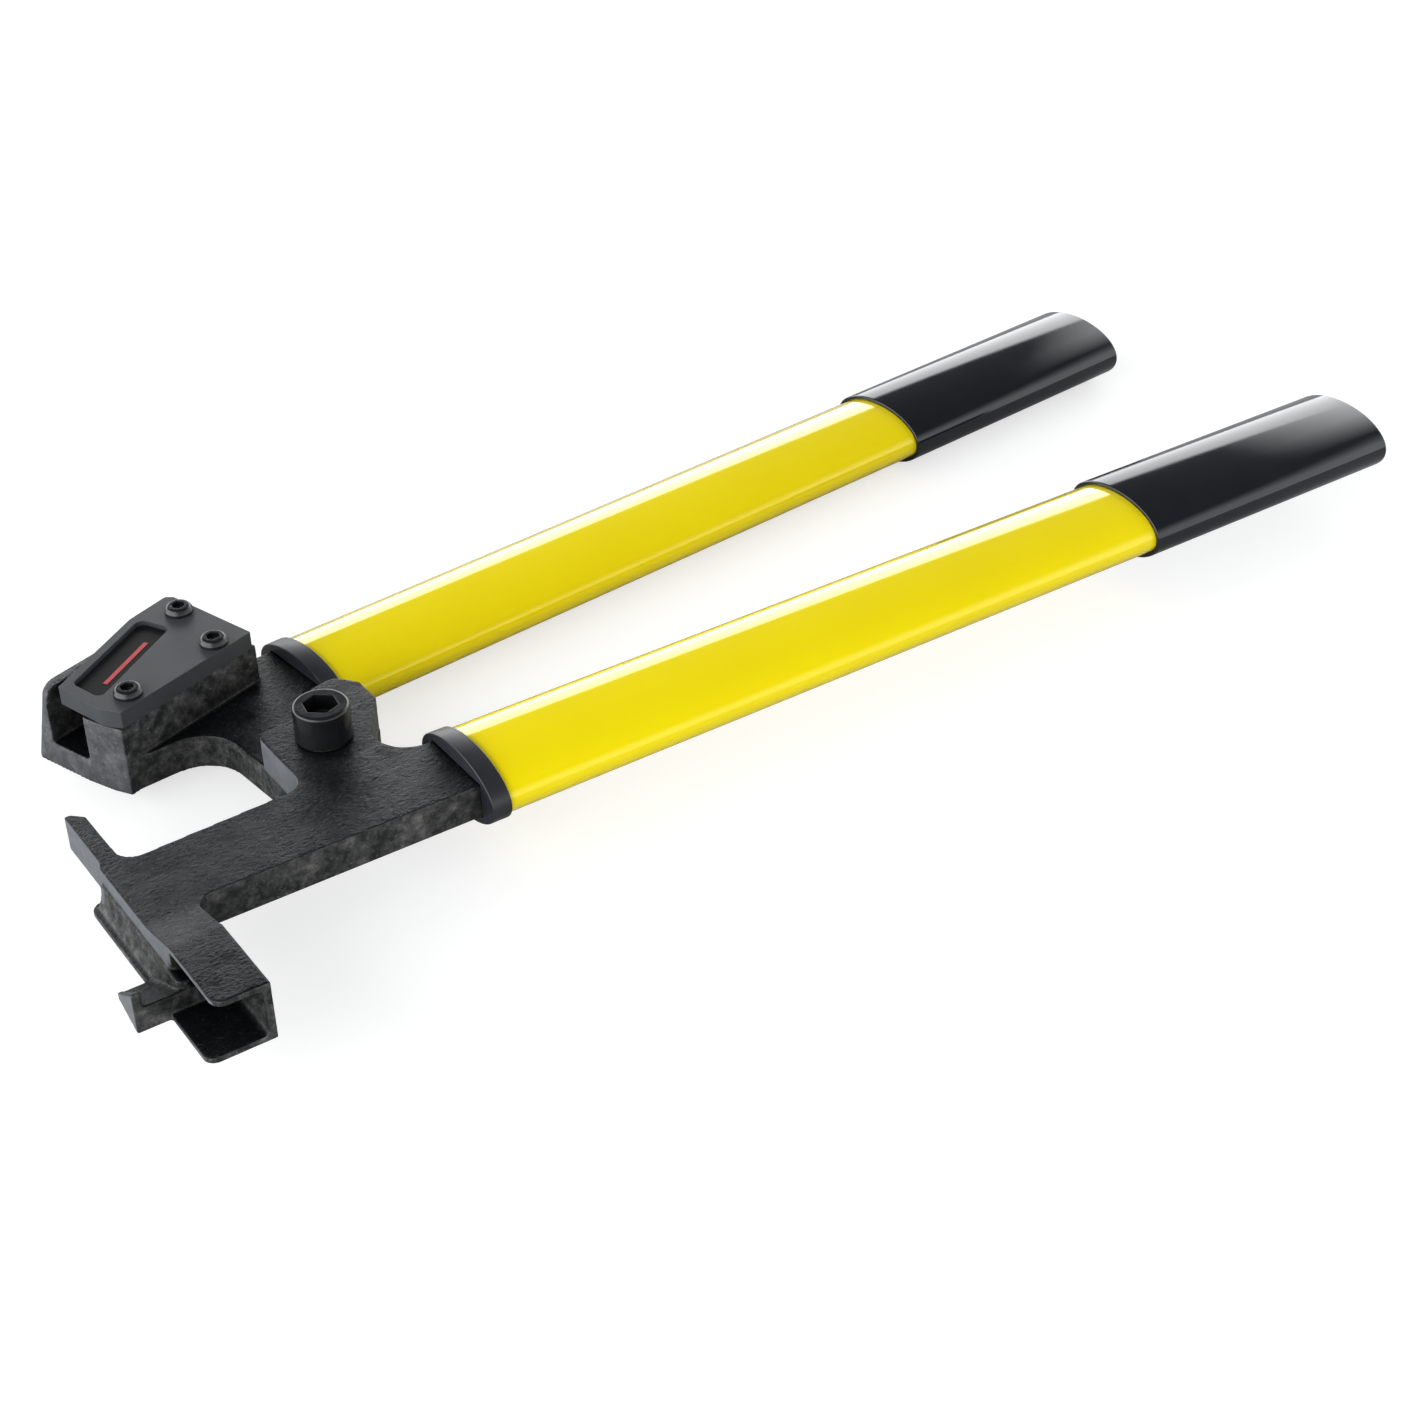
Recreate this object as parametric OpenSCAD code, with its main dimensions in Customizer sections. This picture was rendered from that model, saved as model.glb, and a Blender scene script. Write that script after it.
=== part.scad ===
// Hand-operated strapping tensioner: two long levers on one pivot screw.
// Squeezing the handles spreads the jaws: the front jaw pushes with its channel and tooth, and the
// rear jaw holds the strap between a sprung cam and an anvil plate.
// Frame: origin on the pivot axis at the underside of the rear arm, +X towards the grips,
// +Y from the front lever to the rear lever, +Z up towards the head of the pivot screw.

/* [Levers] */
// Thickness of each arm
arm_t = 12; // [11.5:0.1:12.2]
// Width of the straight part of each arm
arm_w = 29; // [28:0.5:30]
// Angle of the rear handle away from the X axis, degrees
rear_angle = 3.0; // [2.5:0.1:3.5]
// Angle of the front handle away from the X axis, degrees
front_angle = -3.2; // [-3.7:0.1:-2.7]

/* [Handles] */
// Length of yellow tube that shows between collar and grip
tube_show = 266.9; // [200:1:320]
// Width of the oval tube
tube_w = 42.2; // [41.8:0.1:42.6]
// Height of the oval tube
tube_h = 20.7; // [20.4:0.1:21.2]
// Wall of the tube
tube_wall = 2; // [1.6:0.1:2]
// Length of the grip sleeve
grip_l = 118.4; // [90:1:140]
// Wall of the grip sleeve
grip_wall = 1.6; // [1.4:0.1:2.2]
// Length of the collar
collar_l = 6.6; // [6:0.1:9]

/* [Pivot] */
// Diameter of the pivot screw's shank
pivot_d = 12; // [11:0.5:13]
// Diameter of the pivot screw's head
pivot_head_d = 18; // [18:0.5:20]
// Height of the pivot screw's head
pivot_head_h = 12; // [10:0.5:13]

/* [Rear jaw] */
// Height of the jaw block above the underside of the arm
block_h = 25.2; // [25:0.1:26]
// Thickness of the cover plate
cover_t = 6.2; // [6:0.1:7.5]
// Height of the strap slot's floor above the underside
slot_floor = 9; // [8:0.5:9.5]

/* [Front jaw] */
// Wall of the channel
channel_wall = 2.2; // [2:0.1:3]
// Height of the stop face above the channel floor
stop_h = 6.4; // [5:0.2:7]

/* [Hidden] */
$fn = 96;
eps = 0.01;
// Running gap between faces that slide on each other, and gap between fixed pieces
run_gap = 0.05;
fit_gap = 0.05;

rear_top = arm_t - run_gap;
front_bottom = arm_t + run_gap;
front_top = 2 * arm_t;

// Handles: [distance from pivot to collar face, sideways offset, height of the axis]
REAR_HANDLE = [23.1, 55.2, arm_t / 2];
FRONT_HANDLE = [26.0, -36.6, 1.5 * arm_t];

collar_w = tube_w + 2.3;
collar_h = tube_h + 2.3;
collar_wall = 2.5;
tang_w = 25;
tang_t = 10.5;
tang_l = 58;
grip_end_wall = 3.2;
handle_l = collar_l + tube_show + grip_l;
set_screw_at = 30;
set_screw_r = 3;

pivot_r = pivot_d / 2;
bush_r = 8.5;
washer_r = 13;
washer_t = 1.5;

// Rear jaw block: its own frame, S along its front edge and T inwards
BLOCK_AT = [-45.6, 43.4];
block_turn = 13.4;
block_s0 = -3.4;
block_s1 = 58.5;
block_t1 = 39.8;
corner_r = 9;
wall_draft = 3.7;
wall_top = 28.4;
wall_round = 4.5;
cover_z = block_h + 0.02;
cover_top = cover_z + cover_t;
label_depth = 2;
COVER_SCREWS = [[52.4, 28.7], [45.3, 5.3], [8.7, 6.0]];
CAM_AT = [26, 18];
cam_pin_r = 3;
spring_z = 19.3;
spring_r = 4.5;
wire_r = 0.5;
slot_t0 = 15.3;
slot_t1 = 32.5;
anvil_t = 2.5;
anvil_s = [12.3, 38];

// Front jaw, in the front lever's frame
jaw_u0 = -83.7;
jaw_u1 = -67.2;
jaw_v0 = -100.5;
wall_end_v = -71;
rib_u0 = -84.5;
rib_end_v = -76.4;
rib_top = 18.8;
jaw_bottom = 8;
floor_z = jaw_bottom + channel_wall;
floor_u0 = -88.0;
floor_v1 = -19.3;
roof_z = 28;
step_v0 = -60.3;
step_v1 = -77.1;

// ---- helpers ----

function unit(v) = v / norm(v);
function angle_of(v) = atan2(v.y, v.x);
function turn_of(a) = a > 180 ? a - 360 : a < -180 ? a + 360 : a;

// One corner of an outline: p = [x, y, r], rounded by radius r between its neighbours a and b
function corner(a, p, b) =
    p[2] == 0 ? [[p.x, p.y]] :
    let (u = unit([a.x - p.x, a.y - p.y]), w = unit([b.x - p.x, b.y - p.y]))
    let (half = acos(u * w) / 2)
    let (c = [p.x, p.y] + unit(u + w) * p[2] / sin(half))
    let (from = [p.x, p.y] + u * p[2] / tan(half) - c, to = [p.x, p.y] + w * p[2] / tan(half) - c)
    let (a0 = angle_of(from), sweep = turn_of(angle_of(to) - angle_of(from)))
    let (steps = max(2, ceil(abs(sweep) / 9)))
    [for (i = [0:steps]) c + p[2] * [cos(a0 + sweep * i / steps), sin(a0 + sweep * i / steps)]];

// An outline whose corners [x, y, r] are rounded
function rounded(p) =
    let (n = len(p))
    [for (i = [0:n - 1]) each corner(p[(i + n - 1) % n], p[i], p[(i + 1) % n])];

module slab(outline, z0, z1) {
    translate([0, 0, z0])
        linear_extrude(z1 - z0)
            polygon(rounded(outline));
}

// A profile in (Y, Z) drawn out along X from x0 to x1
module drawn_x(profile, x0, x1) {
    translate([x0, 0, 0])
        rotate([90, 0, 90])
            linear_extrude(x1 - x0)
                polygon(rounded(profile));
}

// An oval cylinder along +X with full width w (Y) and full height h (Z)
module oval(w, h, x0, x1) {
    translate([x0, 0, 0])
        rotate([90, 0, 90])
            linear_extrude(x1 - x0)
                polygon([for (i = [0:71]) [w / 2 * cos(5 * i), h / 2 * sin(5 * i)]]);
}

module in_rear_lever() {
    rotate([0, 0, rear_angle])
        children();
}

module in_front_lever() {
    rotate([0, 0, front_angle])
        children();
}

module in_rear_handle() {
    in_rear_lever()
        translate(REAR_HANDLE)
            children();
}

module in_front_handle() {
    in_front_lever()
        translate(FRONT_HANDLE)
            children();
}

module in_block() {
    in_rear_lever()
        translate(BLOCK_AT)
            rotate([0, 0, block_turn])
                children();
}

// ---- handle pieces, drawn from the collar face along +X ----

module tang() {
    translate([-1, -arm_w / 2, -arm_t / 2 + run_gap])
        cube([collar_wall + 1, arm_w, arm_t - 2 * run_gap]);
    translate([0, -tang_w / 2, -tang_t / 2])
        cube([tang_l, tang_w, tang_t]);
}

module set_screw_hole(r) {
    translate([set_screw_at, 0, -tube_h])
        cylinder(r = r, h = tube_h - 1);
}

module collar() {
    slot = [collar_wall + 2, arm_w + 0.2, arm_t + 0.2];
    difference() {
        oval(collar_w, collar_h, 0, collar_l);
        oval(tube_w + 0.1, tube_h + 0.1, collar_wall, collar_l + 1);
        translate([-1, -slot.y / 2, -slot.z / 2])
            cube(slot);
    }
}

module tang_sleeve() {
    sleeve_w = tube_w - 2 * tube_wall - 0.1;
    sleeve_h = tube_h - 2 * tube_wall - 0.1;
    difference() {
        oval(sleeve_w, sleeve_h, collar_wall + 0.2, tang_l - 1);
        translate([0, -tang_w / 2 - fit_gap, -tang_t / 2 - fit_gap])
            cube([tang_l, tang_w + 2 * fit_gap, tang_t + 2 * fit_gap]);
        set_screw_hole(set_screw_r + 0.05);
    }
}

module tube() {
    difference() {
        oval(tube_w, tube_h, collar_wall + 0.1, handle_l - grip_end_wall - 0.1);
        oval(tube_w - 2 * tube_wall, tube_h - 2 * tube_wall, 0, handle_l);
        set_screw_hole(set_screw_r + 0.05);
    }
}

// Grub screw that holds the tube on its tang, entered from below with its socket downwards
module set_screw() {
    bottom = -tube_h / 2 + 0.6;
    socket_r = 1.75;
    socket_depth = 3;
    translate([set_screw_at, 0, bottom])
        difference() {
            cylinder(r = set_screw_r, h = -1.2 - bottom);
            translate([0, 0, -eps])
                cylinder(r = socket_r, h = socket_depth, $fn = 6);
        }
}

module grip() {
    outer_w = tube_w + 2 * grip_wall + 0.1;
    outer_h = tube_h + 2 * grip_wall + 0.1;
    difference() {
        oval(outer_w, outer_h, collar_l + tube_show, handle_l);
        oval(tube_w + 0.1, tube_h + 0.1, collar_l + tube_show - 1, handle_l - grip_end_wall);
    }
}

// ---- rear lever ----

module rear_arm_plate() {
    outer_v = REAR_HANDLE.y + arm_w / 2;
    slab([
        [REAR_HANDLE.x, REAR_HANDLE.y - arm_w / 2, 0],
        [REAR_HANDLE.x, outer_v, 0],
        [-8, outer_v, 0],
        [-36, 58, 0],
        [-45.9, 44.2, 0.5],
        [-15, 44.2, 14],
        [-15, -23, 9],
        [9, -23, 9],
        [12.6, -9.5, 3],
        [24.4, 6.8, 0.8],
        [24.4, 20, 0]
    ], 0, rear_top);
}

// One level of the block's outer shape: its end and back sit inset from the outline at the top
module block_level(z, inset, back, r) {
    slab([
        [-1, 0.2, 0],
        [block_s1, 0.2, 0.8],
        [block_s1, back - inset, 1.5],
        [block_s0 + inset, back - inset, r - inset],
        [block_s0 + inset, 17, 0],
        [-2.5 + inset / 2, 6.5, 0]
    ], z, z + 0.01);
}

// The block's outside: drafted back wall, rounded corner and rounded top edge
module block_body() {
    hull() {
        block_level(0, 0, block_t1 + wall_draft, corner_r / 2);
        for (a = [0:22.5:90])
            block_level(wall_top - wall_round * (1 - sin(a)), wall_round * (1 - cos(a)),
                block_t1, corner_r);
    }
}

COVER_OUTLINE = [
    [0, 0.1, 0.5],
    [56.8, 0.1, 0.5],
    [58, 37, 0.8],
    [56.3, 39.5, 0.8],
    [39.7, 38.7, 3],
    [-1.5, 27.1, 0.8],
    [-2.4, 6, 8]
];

// What the cover plate's seat takes out of the block: the raised outer wall stays behind it
module cover_seat() {
    slab([
        [-12, -9, 0],
        [66, -9, 0],
        [66, 52, 0],
        [39.4, 52, 0],
        [39.4, 38.9, 0],
        [-12, 24.45, 0]
    ], block_h, wall_top + 1);
}

module strap_slot() {
    pocket_s = [13, 41];
    pocket_t0 = 10;
    recess_t = slot_t1 + 1.5;
    slab([
        [block_s0 - 3, slot_t0 - 1.8, 0],
        [block_s0, slot_t0, 0],
        [block_s0 + 2.2, slot_t0 + 1.7, 1],
        [pocket_s[0], slot_t0 + 1.7, 1.5],
        [pocket_s[0], pocket_t0, 0.5],
        [pocket_s[1], pocket_t0, 3],
        [pocket_s[1], slot_t1, 3],
        [anvil_s[1] + 0.1, slot_t1, 0],
        [anvil_s[1] + 0.1, recess_t, 0],
        [anvil_s[0] - 0.1, recess_t, 0],
        [anvil_s[0] - 0.1, slot_t1, 0],
        [block_s0 - 3, slot_t1, 0]
    ], slot_floor, wall_top + 1);
}

module block_cuts() {
    cover_seat();
    strap_slot();
    for (p = COVER_SCREWS)
        translate([p.x, p.y, block_h - 11])
            cylinder(r = 2.52, h = 12);
    translate([CAM_AT.x, CAM_AT.y, 4])
        cylinder(r = cam_pin_r + 0.02, h = 10);
}

module rear_arm() {
    color([0.12, 0.13, 0.14])
        difference() {
            union() {
                in_rear_lever()
                    rear_arm_plate();
                in_block()
                    block_body();
                in_rear_handle()
                    tang();
            }
            in_block()
                block_cuts();
            in_rear_lever()
                translate([23.5, 24.6, -1])
                    cylinder(r = 17, h = arm_t + 2);
            translate([0, 0, -1])
                cylinder(r = pivot_r + 0.02, h = arm_t + 2);
            translate([0, 0, arm_t - washer_t])
                cylinder(r = washer_r + 0.1, h = washer_t + 1);
            in_rear_handle()
                set_screw_hole(set_screw_r + 0.02);
        }
}

module pivot_screw() {
    head_z = front_top + 0.1;
    socket_af = 10;
    color([0.1, 0.1, 0.11])
        difference() {
            union() {
                cylinder(r = pivot_r, h = head_z + eps);
                translate([0, 0, head_z])
                    rotate_extrude()
                        polygon(rounded([[0, 0, 0], [pivot_head_d / 2, 0, 0.4],
                            [pivot_head_d / 2, pivot_head_h, 1.3], [0, pivot_head_h, 0]]));
            }
            translate([0, 0, head_z + pivot_head_h - 6])
                rotate([0, 0, 18])
                    cylinder(d = socket_af / cos(30), h = 7, $fn = 6);
            translate([0, 0, head_z + pivot_head_h - 8])
                cylinder(r1 = 0.5, r2 = 4.3, h = 2 + eps);
        }
}

module thrust_washer() {
    color([0.72, 0.55, 0.3])
        translate([0, 0, arm_t - washer_t])
            difference() {
                cylinder(r = washer_r, h = washer_t);
                translate([0, 0, -1])
                    cylinder(r = pivot_r + 0.1, h = washer_t + 2);
            }
}

module cover_plate() {
    color([0.37, 0.38, 0.4])
        in_block()
            difference() {
                slab(COVER_OUTLINE, cover_z, cover_top);
                slab([
                    [1.9, 11.4, 2.4],
                    [43.6, 23.8, 2.4],
                    [41.7, 36.1, 3.2],
                    [2.6, 25.1, 2.4]
                ], cover_top - label_depth, cover_top + 1);
                for (p = COVER_SCREWS)
                    translate([p.x, p.y, cover_z - 1])
                        cylinder(r = 2.75, h = cover_t + 2);
                translate([CAM_AT.x, CAM_AT.y, cover_z - 1])
                    cylinder(r = cam_pin_r + 0.02, h = 4);
            }
}

// Button-head screws that hold the cover plate on the block
module cover_screws() {
    socket_af = 4.2;
    color([0.09, 0.09, 0.1])
        in_block()
            for (p = COVER_SCREWS)
                translate([p.x, p.y, 0])
                    difference() {
                        union() {
                            translate([0, 0, block_h - 10])
                                cylinder(r = 2.5, h = 10 + cover_t + 0.5);
                            translate([0, 0, cover_top + 0.02])
                                rotate_extrude()
                                    polygon(rounded([[0, 0, 0], [4.75, 0, 0],
                                        [4.75, 1.0, 0.5], [3.9, 2.5, 1.2], [3.1, 2.75, 0], [0, 2.75, 0]]));
                        }
                        translate([0, 0, cover_top + 0.7])
                            cylinder(d = socket_af / cos(30), h = 3, $fn = 6);
                    }
}

// Blank identification plate in the cover's pocket
module nameplate() {
    color([0.05, 0.05, 0.05])
        in_block()
            slab([
                [2.3, 11.9, 2.2],
                [43.1, 24.0, 2.2],
                [41.4, 35.6, 3.0],
                [2.9, 24.8, 2.2]
            ], cover_top - label_depth + 0.02, cover_top - label_depth + 0.5);
}

module anvil_plate() {
    color([0.45, 0.46, 0.48])
        in_block()
            translate([anvil_s[0], slot_t1 + 1.45 - anvil_t, slot_floor + 0.1])
                cube([anvil_s[1] - anvil_s[0], anvil_t, block_h - slot_floor - 0.3]);
}

module cam_pin() {
    color([0.6, 0.61, 0.63])
        in_block()
            translate([CAM_AT.x, CAM_AT.y, 4.1])
                cylinder(r = cam_pin_r, h = block_h + 2.4 - 4.1);
}

// Torsion spring on the cam pin; it pushes the cam towards the anvil
module cam_spring() {
    turns = 4;
    pitch = 0.96;
    top_z = wire_r + pitch * (turns - 1);
    color([0.62, 0.63, 0.65])
        in_block()
            translate([CAM_AT.x, CAM_AT.y, spring_z]) {
                rotate_extrude()
                    for (i = [0:turns - 1])
                        translate([spring_r, wire_r + pitch * i])
                            circle(r = wire_r, $fn = 24);
                translate([spring_r, 0, wire_r])
                    rotate([0, 90, 0])
                        cylinder(r = wire_r, h = 1.8);
                translate([spring_r, 0, top_z])
                    rotate([90, 0, 0])
                        cylinder(r = wire_r, h = 6.5);
            }
}

// ---- cam body ----

module grip_cam() {
    teeth = 6;
    pitch = 1.5;
    groove = 0.9;
    bottom = slot_floor + 0.3;
    color([0.35, 0.36, 0.38])
        in_block()
            translate([CAM_AT.x, CAM_AT.y, 0])
                difference() {
                    union() {
                        translate([0, 0, bottom])
                            cylinder(r = 6.8, h = spring_z - 0.3 - bottom);
                        slab([
                            [-5.8, -3.5, 0],
                            [-4.6, 8.6, 1.5],
                            [-1, 11.3, 2],
                            [8.6, 12.2, 1.2],
                            [10.2, 8.4, 2],
                            [6, -3.5, 0]
                        ], bottom, block_h - 0.3);
                    }
                    translate([0, 0, spring_z - 0.3])
                        cylinder(r = 6.9, h = 10);
                    cylinder(r = cam_pin_r + run_gap, h = 2 * block_h);
                    for (i = [0:teeth - 1])
                        translate([-0.2 + pitch * i, 11.75 + 0.094 * pitch * i, 0])
                            rotate([0, 0, 45])
                                translate([-0.35, -0.35, 0])
                                    cube([groove, groove, 2 * block_h]);
                }
}

// ---- front lever ----

module front_arm_plate() {
    near_v = FRONT_HANDLE.y - arm_w / 2;
    far_v = FRONT_HANDLE.y + arm_w / 2;
    slab([
        [FRONT_HANDLE.x, near_v, 0],
        [jaw_u1, near_v, 5.5],
        [jaw_u1, wall_end_v, 0],
        [jaw_u0, wall_end_v, 3],
        [jaw_u0, -22.6, 2],
        [-82.6, -19, 2],
        [-82.6, 7.3, 0.3],
        [-80.6, 7.3, 1],
        [-77, 3.8, 1],
        [-76.8, -23.2, 6],
        [-17, -20.4, 6.5],
        [-17.2, 12.9, 4],
        [4.6, 14.6, 3],
        [8, 26, 2.5],
        [17.6, 28.2, 5],
        [23.4, 20.5, 2],
        [23.4, 9.6, 0.8],
        [12.4, -8.2, 2],
        [12.4, far_v, 11.9],
        [FRONT_HANDLE.x, far_v, 0]
    ], front_bottom, front_top);
}

// Ramp up to the channel's roof, and the roof itself
module channel_roof() {
    under = roof_z - channel_wall;
    intersection() {
        drawn_x([
            [-48, front_top - 3, 0],
            [-48, front_top, 0],
            [-54.5, front_top, 14],
            [-72, roof_z, 14],
            [jaw_v0, roof_z, 0.8],
            [jaw_v0, under, 0.6],
            [wall_end_v, under, 1],
            [wall_end_v, front_top - 3, 0]
        ], jaw_u0, jaw_u1);
        slab([
            [jaw_u0, jaw_v0, 4],
            [jaw_u1, jaw_v0, 1],
            [jaw_u1, -40, 0],
            [jaw_u0, -40, 0]
        ], front_top - 4, roof_z + 1);
    }
}

// Channel web with rounded inner corners
module channel_web() {
    r = 2;
    deep = wall_end_v - jaw_v0 + 1;
    inside_h = roof_z - floor_z - channel_wall;
    difference() {
        translate([jaw_u1 - channel_wall - r, jaw_v0, jaw_bottom])
            cube([channel_wall + r, deep, roof_z - jaw_bottom]);
        translate([jaw_u1 - channel_wall - r, jaw_v0 - 1, floor_z])
            rotate([-90, 0, 0])
                linear_extrude(deep)
                    polygon(rounded([[-2 * r, 0, 0], [r, 0, r], [r, -inside_h, r], [-2 * r, -inside_h, 0]]));
    }
}

module channel_floor() {
    slab([
        [jaw_u1, jaw_v0, 1],
        [floor_u0, jaw_v0, 3.5],
        [floor_u0, floor_v1, 4],
        [rib_u0 + 1, floor_v1, 0],
        [jaw_u0 + 8, -24, 0],
        [jaw_u1, -40, 0]
    ], jaw_bottom, floor_z);
    slab([
        [jaw_u1, wall_end_v, 0],
        [jaw_u0 + 2, wall_end_v, 0],
        [jaw_u0 + 2, -22.6, 0],
        [jaw_u0 + 8, -24, 0],
        [jaw_u1, -40, 0]
    ], floor_z - 1, front_bottom + 1);
}

// Rib that stands on the channel floor along the arm's left edge and ends in a rounded nose
module channel_rib() {
    rib_w = 5;
    foot_w = 3.2;
    foot_h = 7.6;
    slab([
        [rib_u0, rib_end_v, 2.4],
        [rib_u0, -22, 2],
        [rib_u0 + rib_w, -22, 0],
        [rib_u0 + rib_w, rib_end_v, 2.4]
    ], floor_z - 1, rib_top);
    translate([0, rib_end_v + 3, 0])
        rotate([-90, 0, 0])
            linear_extrude(-25 - rib_end_v)
                polygon(concat(
                    [[rib_u0 + 1, -floor_z + 1], [rib_u0 + 1, -floor_z - foot_h]],
                    [for (a = [0:10:90])
                        [rib_u0 - foot_w + foot_w * cos(a), -(floor_z + foot_h - foot_h * sin(a))]],
                    [[rib_u0 - foot_w, -floor_z + 1]]));
}

// Step across the channel: a ramp up to the stop face, with the hooked tooth at its left end
module step_and_tooth() {
    tooth_u = [-98.2, -95.3];
    tooth_top = 22.3;
    rear_cut = 1.6;
    difference() {
        union() {
            drawn_x([
                [step_v0, jaw_bottom, 0],
                [step_v1, jaw_bottom, 0],
                [step_v1, floor_z + stop_h, 0.6],
                [step_v0, floor_z, 0]
            ], tooth_u[0], jaw_u1 - 1);
            drawn_x([
                [step_v0, jaw_bottom, 0],
                [step_v1, jaw_bottom, 0],
                [step_v1, tooth_top, 0],
                [step_v0, floor_z + 0.3, 0]
            ], tooth_u[0], tooth_u[1]);
        }
        translate([tooth_u[0], step_v1, jaw_bottom - 1])
            rotate([0, 0, -atan(rear_cut / (step_v0 - step_v1))])
                translate([-5, -5, 0])
                    cube([5, 30, 30]);
    }
}

module front_arm() {
    color([0.13, 0.14, 0.15])
        difference() {
            union() {
                in_front_lever() {
                    front_arm_plate();
                    channel_roof();
                    channel_web();
                    channel_floor();
                    channel_rib();
                    step_and_tooth();
                }
                in_front_handle()
                    tang();
            }
            translate([0, 0, arm_t - 1])
                cylinder(r = bush_r + 0.02, h = arm_t + 2);
            in_front_handle()
                set_screw_hole(set_screw_r + 0.02);
        }
}

module pivot_bush() {
    color([0.72, 0.55, 0.3])
        translate([0, 0, front_bottom])
            difference() {
                cylinder(r = bush_r, h = front_top - front_bottom);
                translate([0, 0, -1])
                    cylinder(r = pivot_r + run_gap, h = arm_t + 2);
            }
}

module rear_collar() { color([0.15, 0.16, 0.19]) in_rear_handle() collar(); }
module rear_tang_sleeve() { color([0.85, 0.85, 0.8]) in_rear_handle() tang_sleeve(); }
module rear_tube() { color([0.92, 0.86, 0.03]) in_rear_handle() tube(); }
module rear_set_screw() { color([0.1, 0.1, 0.11]) in_rear_handle() set_screw(); }
module rear_grip() { color([0.11, 0.12, 0.15]) in_rear_handle() grip(); }
module front_collar() { color([0.15, 0.16, 0.19]) in_front_handle() collar(); }
module front_tang_sleeve() { color([0.85, 0.85, 0.8]) in_front_handle() tang_sleeve(); }
module front_tube() { color([0.92, 0.86, 0.03]) in_front_handle() tube(); }
module front_set_screw() { color([0.1, 0.1, 0.11]) in_front_handle() set_screw(); }
module front_grip() { color([0.11, 0.12, 0.15]) in_front_handle() grip(); }

rear_arm();
pivot_screw();
thrust_washer();
rear_collar();
rear_tang_sleeve();
rear_tube();
rear_set_screw();
rear_grip();
cover_plate();
cover_screws();
nameplate();
anvil_plate();
cam_pin();
cam_spring();
grip_cam();
front_arm();
pivot_bush();
front_collar();
front_tang_sleeve();
front_tube();
front_set_screw();
front_grip();
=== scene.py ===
"""Looks of a hand strapping tensioner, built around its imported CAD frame. Lengths are in millimetres
unless a name says otherwise, and MM turns them into Blender's metres."""
import math

import bmesh
import bpy
import numpy as np
from mathutils import Matrix, Vector, noise


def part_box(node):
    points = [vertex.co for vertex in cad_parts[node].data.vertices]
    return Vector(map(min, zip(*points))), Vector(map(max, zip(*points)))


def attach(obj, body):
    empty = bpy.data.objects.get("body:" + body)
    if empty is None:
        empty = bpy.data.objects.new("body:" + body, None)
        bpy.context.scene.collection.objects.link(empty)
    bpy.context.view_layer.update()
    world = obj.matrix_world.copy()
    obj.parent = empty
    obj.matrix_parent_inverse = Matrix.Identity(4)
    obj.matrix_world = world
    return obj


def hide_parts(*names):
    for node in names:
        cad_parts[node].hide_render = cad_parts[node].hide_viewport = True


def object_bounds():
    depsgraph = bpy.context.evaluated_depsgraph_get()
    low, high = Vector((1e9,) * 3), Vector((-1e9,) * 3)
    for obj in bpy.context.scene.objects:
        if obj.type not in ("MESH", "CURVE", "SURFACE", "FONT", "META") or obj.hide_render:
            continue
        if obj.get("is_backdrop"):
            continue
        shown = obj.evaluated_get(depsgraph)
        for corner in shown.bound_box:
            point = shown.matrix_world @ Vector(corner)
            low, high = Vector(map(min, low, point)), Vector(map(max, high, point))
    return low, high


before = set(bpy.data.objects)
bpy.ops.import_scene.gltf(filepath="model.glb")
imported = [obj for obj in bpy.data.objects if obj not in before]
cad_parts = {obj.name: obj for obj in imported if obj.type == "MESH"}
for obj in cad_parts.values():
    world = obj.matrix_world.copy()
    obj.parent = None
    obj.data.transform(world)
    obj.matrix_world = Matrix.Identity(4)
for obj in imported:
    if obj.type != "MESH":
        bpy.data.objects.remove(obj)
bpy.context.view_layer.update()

MM = 0.001

REAR, FRONT, CAM = "rear_lever", "front_lever", "cam"
LEVER_TURN = {REAR: math.radians(3.0), FRONT: math.radians(-3.2)}
BLOCK_TURN = math.radians(16.4)
ARM_WIDTH, ARM_THICKNESS = 29, 12
JAW_BLOCK_TOP = 25.2


# ---- meshes ----


def new_piece(name, mesh, body, material):
    """A visible piece that rides on a body and fills one of its material slots."""
    piece = bpy.data.objects.new(name, mesh)
    bpy.context.scene.collection.objects.link(piece)
    mesh.materials.clear()
    mesh.materials.append(material)
    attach(piece, body)
    return piece


def cad_points(node):
    """Vertices of a CAD node as rows of X, Y and Z, in metres."""
    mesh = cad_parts[node].data
    points = np.zeros(len(mesh.vertices) * 3)
    mesh.vertices.foreach_get("co", points)
    return points.reshape(-1, 3)


def welded_copy(node):
    """The CAD node's mesh with its split corners welded and its flat faces made whole again."""
    weld_distance = 0.002 * MM
    flat_within = math.radians(0.5)
    source = bmesh.new()
    source.from_mesh(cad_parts[node].data)
    bmesh.ops.remove_doubles(source, verts=source.verts, dist=weld_distance)
    bmesh.ops.dissolve_limit(source, angle_limit=flat_within, verts=source.verts, edges=source.edges)
    mesh = bpy.data.meshes.new(node + "_copy")
    source.to_mesh(mesh)
    source.free()
    return mesh


def with_modifiers(mesh, *settings):
    """The mesh after the given modifiers, each a (type, {property: value}) pair."""
    carrier = bpy.data.objects.new("carrier", mesh)
    bpy.context.scene.collection.objects.link(carrier)
    for kind, values in settings:
        modifier = carrier.modifiers.new(kind, kind)
        for key, value in values.items():
            setattr(modifier, key, value)
    graph = bpy.context.evaluated_depsgraph_get()
    result = bpy.data.meshes.new_from_object(carrier.evaluated_get(graph))
    bpy.data.objects.remove(carrier)
    return result


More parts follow.
